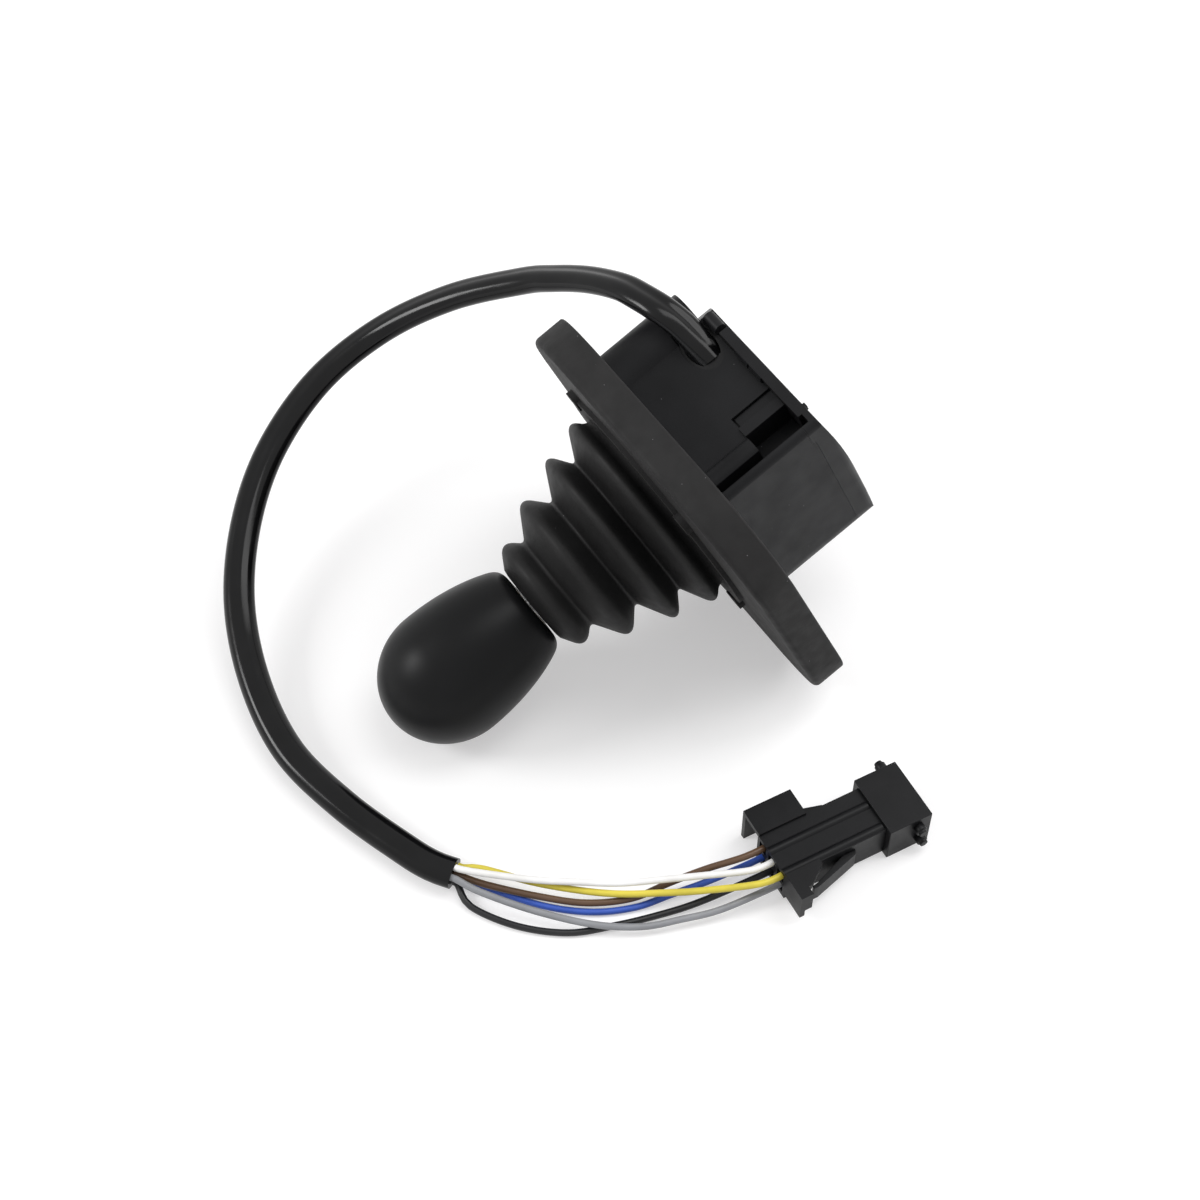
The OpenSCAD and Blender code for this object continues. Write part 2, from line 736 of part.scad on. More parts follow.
function mouth(u, v, out) = sleeve_end
    + (fit + out) * [cos(end_turn), sin(end_turn), 0] + [u * sin(end_turn), -u * cos(end_turn), v];
function socket(column, row, x) = conn_at
    + [x * cos(conn_turn) - column * cell_pitch * sin(conn_turn),
       x * sin(conn_turn) + column * cell_pitch * cos(conn_turn), cell_rows[row]];
function wire_route(u, v, middle, column, row) = concat(
    [mouth(u, v, 0), mouth(u, v, 1.5)], middle,
    [socket(column, row, -5), socket(column, row, contact_from - fit)]);

white_route = wire_route(-0.6, 2.2, [
    [69.4, 42, 6.9], [59.5, 50.6, 6.6], [50.3, 57.5, 6.6],
    [42.3, 63.3, 6.8], [33.3, 68.3, 7.2], [24.3, 73.3, 7.8]], 0, 1);
yellow_route = wire_route(-2.3, 0.3, [
    [68, 39.6, 4.3], [59.6, 49.6, 4.1], [51, 58.3, 4.3],
    [43.5, 64.8, 4.8], [34.8, 70.5, 5.2], [26, 76.3, 6.4]], -1, 1);
brown_route = wire_route(0, 0, [
    [69.2, 43.6, 3.2], [60.2, 53.2, 2.8], [51.2, 61.4, 2.8],
    [41, 66.6, 2.8], [31, 68.5, 3.6], [22, 71.3, 5.9]], 1, 1);
blue_route = wire_route(-0.8, -2.1, [
    [67.8, 45, 1], [59.6, 55.8, 1], [50.6, 63.7, 1],
    [41, 68.4, 1], [32, 70.4, 1.3], [23, 72.8, 2.4]], 1, 0);
grey_route = wire_route(1.9, 1.2, [
    [72, 45, 4.4], [63.4, 56.2, 3.2], [53.2, 67.4, 3],
    [43.5, 74.6, 2.9], [34, 78.3, 2.8], [25, 81.4, 3]], -1, 0);
black_route = wire_route(1.7, -1.4, [
    [75.3, 45.6, 1.2], [68.6, 56.5, 1], [58.9, 65.2, 1],
    [48, 69.9, 1], [37.8, 73.3, 1], [27.7, 76.3, 1.9]], 0, 0);

module cable_grommet()
{
    color("#19191a") lay() difference()
    {
        grommet_axis() translate([0, 0, -grommet_l]) difference()
        {
            cylinder(r = grommet_r, h = 2 * grommet_l);
            translate([0, 0, grommet_l - sleeve_in]) cylinder(r = sleeve_d / 2 + fit, h = 30);
        }
        boxed(-house_s - 9, exit_at[0] + 0.1, -house_s, house_s, -house_l - 9, 0);
    }
}

module sleeve() { color("#0d0d0e") sweep(sleeve_route, sleeve_d / 2, 12); }
module wire(route, tint) { color(tint) sweep(route, wire_d / 2, 8); }
module wire_white() { wire(white_route, "white"); }
module wire_yellow() { wire(yellow_route, "#d9c21c"); }
module wire_brown() { wire(brown_route, "#6b4a33"); }
module wire_blue() { wire(blue_route, "#2f55b5"); }
module wire_grey() { wire(grey_route, "#8b8c8f"); }
module wire_black() { wire(black_route, "#141414"); }

// ---- connector, drawn with its wire end at x = 0 and its mating end at x = conn_l

module on_connector() { translate(conn_at) rotate([0, 0, conn_turn]) children(); }

module cells(from, to, size)
{
    for (k = [-1, 0, 1], z = cell_rows)
        boxed(from, to, k * cell_pitch - size / 2, k * cell_pitch + size / 2,
            z - size / 2, z + size / 2);
}

module connector_body()
{
    color("#1d1e20") on_connector() difference()
    {
        union()
        {
            boxed(0, conn_l - 2, -conn_w / 2, conn_w / 2, 0.6, conn_h - 1.2);
            for (rail = [1.6, -conn_w / 2 + 1.5]) translate([0, rail, conn_h - 2.1])
                along_x() cylinder(r = 1.5, h = conn_l - front_l - 0.4);
            // closed latch guard with its flat roof
            difference()
            {
                boxed(0, guard_l, conn_w / 2 - 0.5, guard_span / 2, 0, conn_h - 0.3);
                boxed(-1, guard_l - 1.4, conn_w / 2, guard_span / 2 - 1.3, -1, conn_h - 1.7);
                boxed(guard_l - 2, guard_l + 1, conn_w / 2, guard_span / 2 - 1.3, 2, conn_h - 1.7);
            }
            // open latch guard with its sloping brace
            translate([0, 0, conn_h - 2.3]) linear_extrude(2)
                polygon([[0, -conn_w / 2 + 0.5], [0, -guard_span / 2], [3.4, -guard_span / 2],
                    [3.4, -guard_span / 2 + 2.4], [4.4, -guard_span / 2 + 2.4],
                    [9.8, -conn_w / 2 - 1], [9.8, -conn_w / 2 + 0.5]]);
            boxed(0, 1.4, -guard_span / 2, -conn_w / 2 + 0.5, 2.5, conn_h - 0.3);
            boxed(0, 3.4, -guard_span / 2, -guard_span / 2 + 1.4, 5, conn_h - 0.3);
        }
        cells(-1, conn_l, cell);
        for (sy = [-1, 1]) boxed(3, 9, sy * (conn_w / 2) - 0.6, sy * (conn_w / 2) + 0.6, 4.6, 7.4);
    }
}

module connector_front()
{
    color("#222326") on_connector() difference()
    {
        boxed(conn_l - front_l, conn_l, -front_w / 2, front_w / 2, 0, conn_h);
        boxed(conn_l - front_l - 1, conn_l - 2 + fit, -conn_w / 2 - fit, conn_w / 2 + fit,
            0.6 - fit, conn_h - 1.2 + fit);
        cells(conn_l - 3, conn_l + 1, 2.2);
        for (sy = [-1, 1]) boxed(conn_l - 5, conn_l + 1, sy * 7.9 - 0.5, sy * 7.9 + 0.5, 3, 9);
    }
}

module latch_arms()
{
    color("#1d1e20") on_connector() for (sy = [-1, 1]) scale([1, sy, 1])
        translate([0, 0, 3]) linear_extrude(5.6) polygon([
            [arm_root + 2.2, conn_w / 2 + fit], [arm_root + 1.4, conn_w / 2 + 1.3],
            [6.8, guard_span / 2 - 2.6], [5.4, guard_span / 2 - 2.6], [5.4, guard_span / 2 - 3.5],
            [6.8, guard_span / 2 - 3.7], [arm_root - 1.6, conn_w / 2 + fit]]);
}

module coding_pegs()
{
    color("#26272a") on_connector()
    {
        for (peg = [[38.4, 9.4, 1, 2.9], [37.6, 8.9, -1, 2.6], [38.4, 3.6, -1, 2.6]])
            translate([peg[0], peg[2] * (front_w / 2 + fit / 2), peg[1]])
                rotate([-90 * peg[2], 0, 0])
                {
                    cylinder(r = 1.5, h = peg[3] - 0.8);
                    cylinder(r = 1.1, h = peg[3]);
                }
    }
}

module terminals()
{
    color("#c9ccd0") on_connector() difference()
    {
        union()
        {
            cells(contact_from + 6, conn_l - 4, cell - 0.5);
            cells(contact_from, contact_from + 6.5, cell - 1);
        }
        cells(conn_l - 12, conn_l - 3, 1);
    }
}

lay() knob();
lay() knob_insert();
lay() lever_shaft();
lay() lock_nut();
lay() neck_ring();
lay() bellows();
lay() boot_skirt();
lay() mounting_plate();
lay() housing();
lay() housing_screws();
lay() rear_cover();
lay() gimbal_ring();
lay() outer_pins();
lay() inner_pins();
lay() outer_bushes();
lay() inner_bushes();
lay() lever_hub();
lay() outer_spring();
lay() inner_spring();
lay() magnet_holder();
lay() magnet();
lay() circuit_board();
lay() hall_sensors();
lay() board_header();
lay() board_screws();
cable_grommet();
sleeve();
wire_white();
wire_yellow();
wire_brown();
wire_blue();
wire_grey();
wire_black();
connector_body();
connector_front();
latch_arms();
coding_pegs();
terminals();
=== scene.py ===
# An industrial joystick lying on its side, put together as on the bench: the moulded housing
# and its cover, what stands inside them, the flange and its rubber, the lever and knob, and
# last the lead with its plug. Each section makes one piece or a group of like pieces.
import math

import bpy
from mathutils import Matrix, Vector


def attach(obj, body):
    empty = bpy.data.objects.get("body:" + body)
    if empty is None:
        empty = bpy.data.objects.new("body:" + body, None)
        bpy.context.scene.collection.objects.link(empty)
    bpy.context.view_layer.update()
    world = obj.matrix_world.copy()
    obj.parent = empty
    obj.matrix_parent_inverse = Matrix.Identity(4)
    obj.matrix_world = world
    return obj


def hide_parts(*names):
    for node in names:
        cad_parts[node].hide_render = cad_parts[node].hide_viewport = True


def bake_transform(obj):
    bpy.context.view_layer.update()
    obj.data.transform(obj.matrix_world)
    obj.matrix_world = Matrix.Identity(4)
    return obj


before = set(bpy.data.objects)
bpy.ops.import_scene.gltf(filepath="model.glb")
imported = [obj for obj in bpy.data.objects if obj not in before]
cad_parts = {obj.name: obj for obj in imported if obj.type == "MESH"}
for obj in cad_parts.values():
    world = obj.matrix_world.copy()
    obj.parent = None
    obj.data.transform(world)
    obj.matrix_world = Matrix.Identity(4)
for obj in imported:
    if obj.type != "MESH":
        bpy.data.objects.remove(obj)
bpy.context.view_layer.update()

# The joystick's own axes as it lies: along the lever to the knob, across the flange, and up
# from the lever. Its pieces are laid down from the mounting face's centre on the lever's axis.
tilt = math.radians(22.544138661710335)
face = Vector((-0.025748016, -0.0075, 0.048868516))
along = Vector((math.cos(tilt), 0, -math.sin(tilt)))
up = Vector((math.sin(tilt), 0, math.cos(tilt)))
laid = Matrix.Translation(face) @ Matrix((
    (-up.x, 0, along.x), (-up.y, 1, along.y), (-up.z, 0, along.z))).to_4x4()


# ---- Housing
# The case is one moulding in black glass-filled nylon, open at the front, with a column at
# each screw. Its edges have the small rounding of the tool, and its skin a fine spark grain.
merged_within = 0.00002
flat_within = math.radians(1.5)
smooth_up_to = math.radians(35)


def only(piece):
    bpy.ops.object.select_all(action="DESELECT")
    piece.select_set(True)
    bpy.context.view_layer.objects.active = piece


def made_from(node, name, rounding, segments=2, angle=32):
    source = bpy.data.objects[node]
    piece = bpy.data.objects.new(name, source.data.copy())
    bpy.context.scene.collection.objects.link(piece)
    only(piece)
    bpy.ops.object.mode_set(mode="EDIT")
    bpy.ops.mesh.select_all(action="SELECT")
    bpy.ops.mesh.remove_doubles(threshold=merged_within)
    bpy.ops.mesh.dissolve_limited(angle_limit=flat_within)
    bpy.ops.object.mode_set(mode="OBJECT")
    edges = piece.modifiers.new("edges", "BEVEL")
    edges.width = rounding
    edges.segments = segments
    edges.limit_method = "ANGLE"
    edges.angle_limit = math.radians(angle)
    bpy.ops.object.modifier_apply(modifier="edges")
    bpy.ops.object.shade_smooth_by_angle(angle=smooth_up_to)
    flats = piece.modifiers.new("flats", "WEIGHTED_NORMAL")
    flats.keep_sharp = True
    bpy.ops.object.modifier_apply(modifier="flats")
    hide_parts(node)
    return piece


def plain_material(name, colour, roughness, metallic=0.0, specular=0.5):
    material = bpy.data.materials.new(name)
    material.use_nodes = True
    shader = material.node_tree.nodes["Principled BSDF"]
    shader.inputs["Base Color"].default_value = (*colour, 1)
    shader.inputs["Roughness"].default_value = roughness
    shader.inputs["Metallic"].default_value = metallic
    shader.inputs["Specular IOR Level"].default_value = specular
    return material, material.node_tree.nodes, material.node_tree.links, shader


def noise_on(nodes, links, scale, detail):
    place = nodes.new("ShaderNodeTexCoord")
    noise = nodes.new("ShaderNodeTexNoise")
    noise.inputs["Scale"].default_value = scale
    noise.inputs["Detail"].default_value = detail
    links.new(place.outputs["Object"], noise.inputs["Vector"])
    return noise.outputs["Fac"]


def ramp_of(nodes, links, factor, stops):
    ramp = nodes.new("ShaderNodeValToRGB")
    for element, (position, value) in zip(ramp.color_ramp.elements, stops):
        element.position = position
        element.color = (*value, 1) if isinstance(value, tuple) else (value, value, value, 1)
    links.new(factor, ramp.inputs["Fac"])
    return ramp.outputs["Color"]


def grained(nodes, links, shader, scale, strength, depth):
    bump = nodes.new("ShaderNodeBump")
    bump.inputs["Strength"].default_value = strength
    bump.inputs["Distance"].default_value = depth
    links.new(noise_on(nodes, links, scale, 3), bump.inputs["Height"])
    links.new(bump.outputs["Normal"], shader.inputs["Normal"])


grit_spacing = 620
grit_size = 0.075


def dusted(nodes, links, colour, share, dust):
    place = nodes.new("ShaderNodeTexCoord")
    grit = nodes.new("ShaderNodeTexVoronoi")
    grit.inputs["Scale"].default_value = grit_spacing
    links.new(place.outputs["Object"], grit.inputs["Vector"])
    small = nodes.new("ShaderNodeMath")
    small.operation = "LESS_THAN"
    small.inputs[1].default_value = grit_size
    links.new(grit.outputs["Distance"], small.inputs[0])
    some = nodes.new("ShaderNodeSeparateColor")
    links.new(grit.outputs["Color"], some.inputs["Color"])
    kept = nodes.new("ShaderNodeMath")
    kept.operation = "LESS_THAN"
    kept.inputs[1].default_value = share
    links.new(some.outputs["Red"], kept.inputs[0])
    both = nodes.new("ShaderNodeMath")
    both.operation = "MULTIPLY"
    links.new(small.outputs["Value"], both.inputs[0])
    links.new(kept.outputs["Value"], both.inputs[1])
    mix = nodes.new("ShaderNodeMix")
    mix.data_type = "RGBA"
    links.new(both.outputs["Value"], mix.inputs["Factor"])
    links.new(colour, mix.inputs["A"])
    mix.inputs["B"].default_value = (*dust, 1)
    return mix.outputs["Result"]


def moulded(name, dark, light, roughness, grain=2600, relief=0.25, share=0.05, specular=0.17):
    material, nodes, links, shader = plain_material(name, dark, roughness, 0, specular)
    tone = ramp_of(nodes, links, noise_on(nodes, links, 90, 5), ((0.35, dark), (0.7, light)))
    links.new(dusted(nodes, links, tone, share, (0.11, 0.11, 0.115)), shader.inputs["Base Color"])
    sheen = ramp_of(nodes, links, noise_on(nodes, links, 140, 4),
                    ((0.3, roughness - 0.06), (0.7, roughness + 0.07)))
    links.new(sheen, shader.inputs["Roughness"])
    grained(nodes, links, shader, grain, relief, 0.0001)
    return material


def dress(piece, material, body):
    piece.data.materials.clear()
    piece.data.materials.append(material)
    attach(piece, body)


nylon = moulded("case nylon", (0.0048, 0.0049, 0.0056), (0.0075, 0.0076, 0.0086), 0.46)
dress(made_from("housing", "case_housing", 0.0004), nylon, "base")

# ---- Rear cover
# The cover is a second nylon moulding, arched a little across its back, that closes the
# housing along a stepped seam. It is a shade glossier than the housing.
cover_nylon = moulded("cover nylon", (0.0055, 0.0056, 0.0063), (0.0085, 0.0086, 0.0096), 0.42)
dress(made_from("rear_cover", "case_rear_cover", 0.0003), cover_nylon,
      "base")


# ---- Gimbal ring, its pins and bushes
# The ring is a zinc casting that swings on two ground steel pins in sintered bronze bushes,
# and the lever's acetal hub swings in it on two more. The metal is left bare.
def coat(node, material):
    for place in bpy.data.objects[node].material_slots:
        place.material = material


def cast_alloy(name, dark, light, roughness, grain):
    material, nodes, links, shader = plain_material(name, dark, roughness, 1.0)
    skin = ramp_of(nodes, links, noise_on(nodes, links, 160, 6), ((0.3, dark), (0.72, light)))
    links.new(skin, shader.inputs["Base Color"])
    links.new(ramp_of(nodes, links, noise_on(nodes, links, 420, 4),
                      ((0.3, roughness - 0.08), (0.7, roughness + 0.12))),
              shader.inputs["Roughness"])
    grained(nodes, links, shader, grain, 0.4, 0.00008)
    return material


def turned_steel(name, colour, roughness, lines):
    material, nodes, links, shader = plain_material(name, colour, roughness, 1.0)
    place = nodes.new("ShaderNodeTexCoord")
    tool = nodes.new("ShaderNodeTexWave")
    tool.wave_type = "BANDS"
    tool.bands_direction = "DIAGONAL"
    tool.inputs["Scale"].default_value = lines
    tool.inputs["Distortion"].default_value = 1.5
    links.new(place.outputs["Object"], tool.inputs["Vector"])
    links.new(ramp_of(nodes, links, tool.outputs["Fac"],
                      ((0.1, roughness - 0.07), (0.9, roughness + 0.1))),
              shader.inputs["Roughness"])
    bump = nodes.new("ShaderNodeBump")
    bump.inputs["Strength"].default_value = 0.15
    bump.inputs["Distance"].default_value = 0.00004
    links.new(tool.outputs["Fac"], bump.inputs["Height"])
    links.new(bump.outputs["Normal"], shader.inputs["Normal"])
    stain = tuple(0.82 * c for c in colour)
    links.new(ramp_of(nodes, links, noise_on(nodes, links, 200, 5),
                      ((0.3, stain), (0.7, colour))), shader.inputs["Base Color"])
    return material


zinc = cast_alloy("gimbal zinc", (0.36, 0.37, 0.38), (0.5, 0.51, 0.52), 0.42, 1500)
bronze = cast_alloy("bush bronze", (0.34, 0.2, 0.09), (0.5, 0.32, 0.15), 0.38, 3000)
ground = turned_steel("pin steel", (0.56, 0.57, 0.58), 0.24, 900)
acetal = moulded("hub acetal", (0.05, 0.05, 0.052), (0.062, 0.062, 0.064), 0.36, 1800, 0.12, 0)
coat("gimbal_ring", zinc)
coat("outer_pins", ground)
coat("inner_pins", ground)
coat("outer_bushes", bronze)
coat("inner_bushes", bronze)
coat("lever_hub", acetal)

# ---- Centring springs
# Two small torsion springs of bright wire, wound round the outer and the inner pin, bring the
# lever back to the middle. Each has a straight leg at both ends.
spring_wire = 0.0008
spring_radius = 0.0031
spring_pitch = 0.00105
spring_leg = 0.004


def wound(name, turns, steps=30):
    line = [Vector((spring_radius, -spring_leg, 0))]
    for i in range(turns * steps + 1):
        turn = 2 * math.pi * i / steps
        line.append(Vector((spring_radius * math.cos(turn), spring_radius * math.sin(turn),
                            spring_pitch * i / steps)))
    line.append(Vector((spring_radius, spring_leg, spring_pitch * turns)))
    wire = bpy.data.curves.new(name, "CURVE")
    wire.dimensions = "3D"
    wire.bevel_depth = spring_wire / 2
    wire.bevel_resolution = 4
    wire.use_fill_caps = True
    run = wire.splines.new("POLY")
    run.points.add(len(line) - 1)
    for point, at in zip(run.points, line):
        point.co = (*at, 1)
    piece = bpy.data.objects.new(name, wire)
    bpy.context.scene.collection.objects.link(piece)
    only(piece)
    bpy.ops.object.convert(target="MESH")
    bpy.ops.object.shade_smooth_by_angle(angle=math.radians(50))
    return bpy.context.object


pivot_z = -0.006
outer_at = 0.0183
inner_at = 0.009244
spring_steel = turned_steel("spring wire steel", (0.6, 0.6, 0.61), 0.22, 1600)
outer = wound("centring_spring_outer", 2)
outer.data.transform(laid @ Matrix.Translation((0, outer_at, pivot_z))
                     @ Matrix.Rotation(math.radians(-90), 4, "X"))
inner = wound("centring_spring_inner", 3)
inner.data.transform(laid @ Matrix.Translation((inner_at, 0, pivot_z))
                     @ Matrix.Rotation(math.radians(90), 4, "Y"))
for piece, node, bodies, start, end in (
        (outer, "outer_spring", ("base", "gimbal"),
         (0, outer_at + 2 * spring_pitch, pivot_z), (0, outer_at, pivot_z)),
        (inner, "inner_spring", ("gimbal", "lever"),
         (inner_at + 3 * spring_pitch, 0, pivot_z), (inner_at, 0, pivot_z))):
    piece.data.materials.append(spring_steel)
    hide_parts(node)
    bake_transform(piece)

# ---- Magnet and its holder
# A sintered magnet sits in a plastic holder on the lever's inner end. The three sensors
# on the board read its field as it swings past them.
holder_plastic = moulded("holder plastic", (0.07, 0.072, 0.075), (0.085, 0.087, 0.09),
                         0.4, 1800, 0.12, 0)
sintered = cast_alloy("sintered magnet", (0.3, 0.3, 0.31), (0.42, 0.42, 0.43), 0.34, 2600)
coat("magnet_holder", holder_plastic)
coat("magnet", sintered)


# ---- Circuit board
# A green glass-epoxy laminate, routed to shape and held by three small screws, with its
# sensors and header. The weave of the glass cloth shows a little through the solder mask.
def laminate(name, mask, weave):
    material, nodes, links, shader = plain_material(name, mask, 0.3)
    place = nodes.new("ShaderNodeTexCoord")
    threads = []
    for direction in ("X", "Y"):
        cloth = nodes.new("ShaderNodeTexWave")
        cloth.wave_type = "BANDS"
        cloth.bands_direction = direction
        cloth.inputs["Scale"].default_value = 420
        links.new(place.outputs["Object"], cloth.inputs["Vector"])
        threads.append(cloth.outputs["Fac"])
    both = nodes.new("ShaderNodeMath")
    both.operation = "MULTIPLY"
    links.new(threads[0], both.inputs[0])
    links.new(threads[1], both.inputs[1])
    links.new(ramp_of(nodes, links, both.outputs["Value"], ((0.1, mask), (0.9, weave))),
              shader.inputs["Base Color"])
    grained(nodes, links, shader, 900, 0.1, 0.00003)
    return material


coat("circuit_board", laminate("board laminate", (0.006, 0.05, 0.02), (0.012, 0.09, 0.035)))
coat("hall_sensors", moulded("sensor plastic", (0.014, 0.014, 0.015), (0.02, 0.02, 0.021),
                             0.5, 3200, 0.2, 0))
coat("board_header", moulded("header plastic", (0.55, 0.53, 0.46), (0.62, 0.6, 0.53),
                             0.42, 1800, 0.1, 0))
plated = turned_steel("zinc plated steel", (0.5, 0.51, 0.52), 0.3, 1100)
coat("board_screws", plated)

# ---- Mounting plate and housing screws
# A blanked sheet-steel plate, zinc plated, is set in the back of the flange's rubber and takes
# the panel screws. Four screws from the front hold the housing to it.
coat("mounting_plate", cast_alloy("plate zinc", (0.4, 0.41, 0.42), (0.52, 0.53, 0.54), 0.36, 1200))
dress(made_from("housing_screws", "case_screws", 0.00012, 2, 40), plated, "base")


# ---- Flange rubber
# The boot's flange is a thick slab of matt moulded rubber round the plate, with a low round
# pad where the folds begin. It is dull, a little cloudy, and takes dust.
def rubber_of(name, dark, light, roughness, share, relief):
    material, nodes, links, shader = plain_material(name, dark, roughness, 0, 0.22)
    cloud = ramp_of(nodes, links, noise_on(nodes, links, 70, 6), ((0.36, dark), (0.68, light)))
    links.new(dusted(nodes, links, cloud, share, (0.15, 0.15, 0.155)), shader.inputs["Base Color"])
    links.new(ramp_of(nodes, links, noise_on(nodes, links, 260, 5),
                      ((0.3, roughness - 0.05), (0.7, roughness + 0.08))),
              shader.inputs["Roughness"])
    grained(nodes, links, shader, 1500, relief, 0.00012)
    return material


flange_rubber = rubber_of("flange rubber", (0.0115, 0.0112, 0.0114), (0.0165, 0.016, 0.0162),
                          0.66, 0.12, 0.3)
dress(made_from("boot_skirt", "boot_flange", 0.0003, 3, 40), flange_rubber, "base")

# ---- Lever shaft, lock nut and neck ring
# The lever is a turned steel bar, eight millimetres thick, set in the hub. A turned ring on it
# holds the boot's neck under the knob, and a nut stands just below the ring.
coat("lever_shaft", turned_steel("lever steel", (0.5, 0.505, 0.51), 0.28, 700))
coat("lock_nut", plated)
coat("neck_ring", turned_steel("neck ring steel", (0.42, 0.42, 0.43), 0.34, 900))

# ---- Bellows
# Four soft folds of thin rubber, from the pad up to the lever's neck. A ring is drawn up fold
# by fold and given a wall. It is in two lengths, which meet on a flank.
bellows_wall = 0.0014
flange_t = 0.0095
boot_top = 0.0524
drawn_height = 0.0429
fold_z = [0.0121, 0.0153, 0.0206, 0.0256, 0.0316, 0.0376, 0.0438, 0.0484, 0.0522]
fold_z = [flange_t + (z - flange_t) * (boot_top - flange_t) / drawn_height for z in fold_z]
fold_r = [0.027, 0.0309, 0.0207, 0.0279, 0.0167, 0.0234, 0.0134, 0.0177, 0.0114]
neck_r = 0.0062 + bellows_wall
valley_round = 0.0014
crest_round = 0.0038
fold_steps = 8
meeting_fold = 4
first_bend_z = 0.0105
last_bend_z = 0.046


def rounded_fold(before, at, after, reach, steps):
    first = at + (before - at).normalized() * reach
    last = at + (after - at).normalized() * reach
    return [(1 - k / steps) ** 2 * first + 2 * (k / steps) * (1 - k / steps) * at
            + (k / steps) ** 2 * last for k in range(steps + 1)]


folds = [Vector((fold_r[0], flange_t - 0.002))] + [Vector(p) for p in zip(fold_r, fold_z)]
outline = [folds[0]]
for i in range(1, len(folds) - 1):
    bend = rounded_fold(folds[i - 1], folds[i], folds[i + 1],
                        valley_round if i % 2 else crest_round, fold_steps)
    if i == meeting_fold:
        outline.append((outline[-1] + bend[0]) / 2)
        meeting = len(outline) - 1
    outline += bend
outline += [folds[-1], Vector((fold_r[-1] - 0.0012, boot_top)), Vector((neck_r, boot_top))]
meeting_z = outline[meeting].y


def drawn_up(name, line, sides=128):
    bpy.ops.object.select_all(action="DESELECT")
    bpy.ops.mesh.primitive_circle_add(vertices=sides, radius=line[0].x, location=(0, 0, line[0].y))
    piece = bpy.context.object
    piece.name = name
    bpy.ops.object.transform_apply(location=True, rotation=True, scale=True)
    bpy.ops.object.mode_set(mode="EDIT")
    bpy.ops.mesh.select_all(action="SELECT")
    for below, above in zip(line, line[1:]):
        bpy.ops.mesh.extrude_region_move(
            TRANSFORM_OT_translate={"value": (0, 0, above.y - below.y)})
        grow = above.x / below.x
        bpy.ops.transform.resize(value=(grow, grow, 1), center_override=(0, 0, above.y))
    bpy.ops.mesh.select_all(action="SELECT")
    bpy.ops.mesh.normals_make_consistent(inside=False)
    bpy.ops.object.mode_set(mode="OBJECT")
    return piece


boot_rubber = rubber_of("boot rubber", (0.0062, 0.006, 0.0061), (0.0092, 0.009, 0.0091),
                        0.56, 0.06, 0.2)
for name, line, bodies, low, high in (
        ("boot_folds_lower", outline[:meeting + 1], ("base", "gimbal"), first_bend_z, meeting_z),
        ("boot_folds_upper", outline[meeting:], ("gimbal", "lever"), meeting_z, last_bend_z)):
    folds_piece = drawn_up(name, line)
    wall = folds_piece.modifiers.new("wall", "SOLIDIFY")
    wall.thickness = bellows_wall
    wall.offset = -1
    only(folds_piece)
    bpy.ops.object.modifier_apply(modifier="wall")
    bpy.ops.object.shade_smooth_by_angle(angle=math.radians(60))
    folds_piece.data.transform(laid)
    folds_piece.data.materials.append(boot_rubber)
    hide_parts("bellows")
    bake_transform(folds_piece)

# ---- Knob
# A pear-shaped knob moulded in black soft-touch plastic: round over the top and drawn longer
# towards its foot, which is cut flat, rounded at the rim, and bored for the brass insert.
knob_radius = 0.018
knob_middle = 0.080
knob_crown = 0.0193
knob_drawn = 0.0365
knob_foot = 0.053
foot_round = 0.003
foot_steps = 8
insert_bore = 0.0065
bore_depth = 0.02005
bore_tip = 0.0005
near = 0.00001
bpy.ops.object.select_all(action="DESELECT")
bpy.ops.mesh.primitive_uv_sphere_add(
    segments=128, ring_count=96, radius=knob_radius, location=(0, 0, knob_middle))
knob = bpy.context.object
knob.name = "grip_knob"
bpy.ops.object.transform_apply(location=True, rotation=True, scale=True)
for above, length in ((True, knob_crown), (False, knob_drawn)):
    bpy.ops.object.mode_set(mode="EDIT")
    bpy.ops.mesh.select_all(action="DESELECT")
    bpy.ops.object.mode_set(mode="OBJECT")
    for point in knob.data.vertices:
        point.select = (point.co.z > knob_middle) == above
    bpy.ops.object.mode_set(mode="EDIT")
    bpy.ops.transform.resize(value=(1, 1, length / knob_radius),
                             center_override=(0, 0, knob_middle))
foot_top = knob_foot + foot_round
bpy.ops.mesh.select_all(action="SELECT")
bpy.ops.mesh.bisect(plane_co=(0, 0, foot_top), plane_no=(0, 0, 1), use_fill=False,
                    clear_inner=True, clear_outer=False, threshold=0.000001)
bpy.ops.mesh.select_all(action="DESELECT")
bpy.ops.object.mode_set(mode="OBJECT")
for edge in knob.data.edges:
    if all(abs(knob.data.vertices[v].co.z - foot_top) < near for v in edge.vertices):
        edge.select = True
        for v in edge.vertices:
            knob.data.vertices[v].select = True
cut = (knob_middle - foot_top) / knob_drawn
foot_reach = knob_radius * math.sqrt(1 - cut * cut)
foot_slope = knob_radius ** 2 / knob_drawn * cut / foot_reach
corner = Vector((foot_reach - foot_slope * foot_round, knob_foot))
rim = [Vector((foot_reach, foot_top))]
for k in range(1, foot_steps + 1):
    part = k / foot_steps
    rim.append((1 - part) ** 2 * rim[0] + 2 * part * (1 - part) * corner
               + part ** 2 * (corner - Vector((foot_round, 0))))
rim += [Vector((insert_bore, knob_foot)), Vector((insert_bore, knob_foot + bore_depth)),
        Vector((bore_tip, knob_foot + bore_depth))]
bpy.ops.object.mode_set(mode="EDIT")
